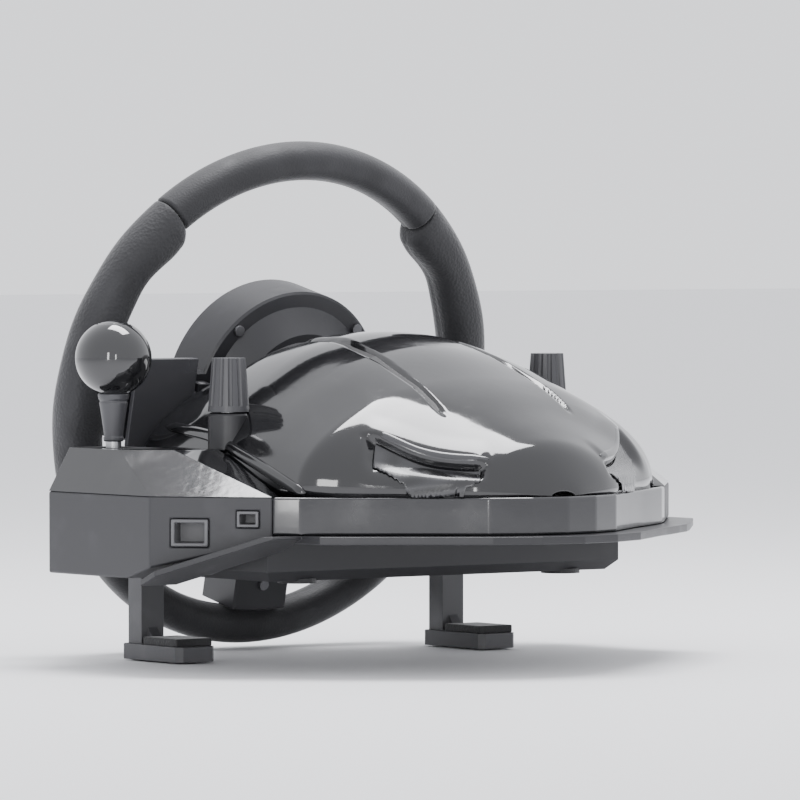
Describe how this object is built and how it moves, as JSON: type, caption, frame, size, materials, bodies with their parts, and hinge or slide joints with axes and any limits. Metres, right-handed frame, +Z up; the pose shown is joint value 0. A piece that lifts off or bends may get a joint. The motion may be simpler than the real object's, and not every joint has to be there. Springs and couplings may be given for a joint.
{
  "type": "racing wheel",
  "caption": "Steering wheel controller for racing games: round rim with grips, spring-centred shaft, car-nosed base, ball shift lever, paddles and screw clamps for a table edge.",
  "frame": {"origin": "centre of the flat underside that rests on the table", "axes": "+Z up from the table, +Y forward to the nose, +X to the driver's right"},
  "size_m": [0.344, 0.3042, 0.2658],
  "materials": {
    "frame_metal": "cast",
    "rim_rubber": "matt fine grain",
    "grip_rubber": "matt fine grain",
    "hub_plastic": "matt",
    "cap_gloss": "gloss",
    "board": "solder mask",
    "screw_steel": "black zinc",
    "steel": "ground",
    "key_plastic": "satin",
    "gear_plastic": "natural nylon",
    "brass": "turned",
    "motor_steel": "plated",
    "board_part": "moulded",
    "paddle_metal": "satin",
    "inner_plastic": "moulded",
    "hood_gloss": "high gloss",
    "vent_plastic": "fine texture",
    "belt_gloss": "gloss",
    "lip_plastic": "satin",
    "foot_rubber": "matt",
    "socket_plastic": "satin",
    "neck_plastic": "satin",
    "ball_gloss": "high gloss",
    "pod_plastic": "fine texture",
    "knob_plastic": "satin",
    "arm_plastic": "moulded"
  },
  "bodies": {
    "base": {"bearings": "steel", "belt_frame": "belt_gloss", "bottom_pan": "inner_plastic", "column_block": "inner_plastic", "column_screws": "screw_steel", "headlight_lids": "hood_gloss", "headlight_recesses": "vent_plastic", "hood": "hood_gloss", "hood_vents": "vent_plastic", "knob_collars": "vent_plastic", "left_pod_cover": "hood_gloss", "left_pod_shell": "pod_plastic", "lever_bracket": "steel", "lever_gate": "vent_plastic", "lever_pin": "steel", "main_board": "board", "motor": "motor_steel", "pedal_socket": "socket_plastic", "position_sensor": "board_part", "rear_panel": "inner_plastic", "rib_trims": "hood_gloss", "right_pod_cover": "hood_gloss", "right_pod_shell": "pod_plastic", "rubber_feet": "foot_rubber", "shifter_socket": "socket_plastic", "splitter_lip": "lip_plastic"},
    "steering_wheel": {"wheel_frame": "frame_metal", "rim_sleeves": "rim_rubber", "rim_grips": "grip_rubber", "hub_front_cover": "hub_plastic", "hub_rear_cover": "hub_plastic", "centre_cap": "cap_gloss", "wheel_board": "board", "hub_screws": "screw_steel", "paddle_pins": "steel", "steering_shaft": "steel", "steering_gear": "gear_plastic"},
    "paddle_left": {"paddle_left": "paddle_metal"},
    "paddle_right": {"paddle_right": "paddle_metal"},
    "dpad": {"dpad": "key_plastic"},
    "option_key_left": {"option_key_left": "key_plastic"},
    "option_key_right": {"option_key_right": "key_plastic"},
    "motor_pinion": {"motor_pinion": "brass"},
    "sensor_pinion": {"sensor_pinion": "gear_plastic"},
    "shift_lever": {"lever_rod": "steel", "lever_neck": "neck_plastic", "lever_ball": "ball_gloss"},
    "action_key_top": {"action_key_top": "key_plastic"},
    "action_key_bottom": {"action_key_bottom": "key_plastic"},
    "action_key_left": {"action_key_left": "key_plastic"},
    "action_key_right": {"action_key_right": "key_plastic"},
    "clamp_knob_left": {"clamp_knob_left": "knob_plastic", "clamp_screw_left": "steel"},
    "clamp_arm_left": {"clamp_arm_left": "arm_plastic", "jaw_pad_left": "foot_rubber"},
    "clamp_knob_right": {"clamp_knob_right": "knob_plastic", "clamp_screw_right": "steel"},
    "clamp_arm_right": {"clamp_arm_right": "arm_plastic", "jaw_pad_right": "foot_rubber"}
  },
  "joints": [
    {"name": "steering", "type": "hinge", "parent": "base", "child": "steering_wheel", "pos_m": [0, -0.095, 0.091], "axis": [0, -0.9744, 0.225], "range_deg": [-135, 135], "stiffness_Nm_per_rad": 0.35},
    {"name": "motor_pinion_spin", "type": "hinge", "parent": "base", "child": "motor_pinion", "pos_m": [0.04375, 0.01803, 0.06491], "axis": [0, -0.9744, 0.225], "range_deg": [-545, 545]},
    {"name": "sensor_pinion_spin", "type": "hinge", "parent": "base", "child": "sensor_pinion", "pos_m": [-0.0525, 0.01803, 0.06491], "axis": [0, -0.9744, 0.225], "range_deg": [-272, 272]},
    {"name": "paddle_left_pull", "type": "hinge", "parent": "steering_wheel", "child": "paddle_left", "pos_m": [-0.06, -0.07742, 0.08489], "axis": [0, 0.225, 0.9744], "range_deg": [0, 4.5], "stiffness_Nm_per_rad": 0.6, "springref_deg": -8.59},
    {"name": "paddle_right_pull", "type": "hinge", "parent": "steering_wheel", "child": "paddle_right", "pos_m": [0.06, -0.07742, 0.08489], "axis": [0, -0.225, -0.9744], "range_deg": [0, 4.5], "stiffness_Nm_per_rad": 0.6, "springref_deg": -8.59},
    {"name": "action_key_top_press", "type": "slide", "parent": "steering_wheel", "child": "action_key_top", "axis": [0, 0.9744, -0.225], "range_m": [0, 0.0015], "stiffness_N_per_m": 400, "springref_m": -0.001},
    {"name": "action_key_bottom_press", "type": "slide", "parent": "steering_wheel", "child": "action_key_bottom", "axis": [0, 0.9744, -0.225], "range_m": [0, 0.0015], "stiffness_N_per_m": 400, "springref_m": -0.001},
    {"name": "action_key_left_press", "type": "slide", "parent": "steering_wheel", "child": "action_key_left", "axis": [0, 0.9744, -0.225], "range_m": [0, 0.0015], "stiffness_N_per_m": 400, "springref_m": -0.001},
    {"name": "action_key_right_press", "type": "slide", "parent": "steering_wheel", "child": "action_key_right", "axis": [0, 0.9744, -0.225], "range_m": [0, 0.0015], "stiffness_N_per_m": 400, "springref_m": -0.001},
    {"name": "option_key_left_press", "type": "slide", "parent": "steering_wheel", "child": "option_key_left", "axis": [0, 0.9744, -0.225], "range_m": [0, 0.001], "stiffness_N_per_m": 400, "springref_m": -0.001},
    {"name": "option_key_right_press", "type": "slide", "parent": "steering_wheel", "child": "option_key_right", "axis": [0, 0.9744, -0.225], "range_m": [0, 0.001], "stiffness_N_per_m": 400, "springref_m": -0.001},
    {"name": "dpad_rock", "type": "hinge", "parent": "steering_wheel", "child": "dpad", "pos_m": [-0.074, -0.10565, 0.09243], "axis": [0, 0.225, 0.9744], "range_deg": [-4, 4], "stiffness_Nm_per_rad": 0.08},
    {"name": "lever_shift", "type": "hinge", "parent": "base", "child": "shift_lever", "pos_m": [0.14, -0.039, 0.04], "axis": [-1, 0, 0], "range_deg": [-10, 10], "stiffness_Nm_per_rad": 3},
    {"name": "clamp_knob_left_turn", "type": "hinge", "parent": "base", "child": "clamp_knob_left", "pos_m": [-0.102, 0.008, 0.1], "axis": [0, 0, -1], "range_deg": [-909, 2529]},
    {"name": "clamp_arm_left_slide", "type": "slide", "parent": "base", "child": "clamp_arm_left", "axis": [0, 0, 1], "range_m": [-0.0075, 0.021]},
    {"name": "clamp_knob_right_turn", "type": "hinge", "parent": "base", "child": "clamp_knob_right", "pos_m": [0.102, 0.008, 0.1], "axis": [0, 0, -1], "range_deg": [-909, 2529]},
    {"name": "clamp_arm_right_slide", "type": "slide", "parent": "base", "child": "clamp_arm_right", "axis": [0, 0, 1], "range_m": [-0.0075, 0.021]}
  ],
  "couplings": [
    {"joint": "motor_pinion_spin", "follows": "steering", "ratio": -4},
    {"joint": "sensor_pinion_spin", "follows": "steering", "ratio": -2},
    {"joint": "clamp_knob_left_turn", "follows": "clamp_arm_left_slide", "rad_per_m": 2094.4},
    {"joint": "clamp_knob_right_turn", "follows": "clamp_arm_right_slide", "rad_per_m": 2094.4}
  ]
}
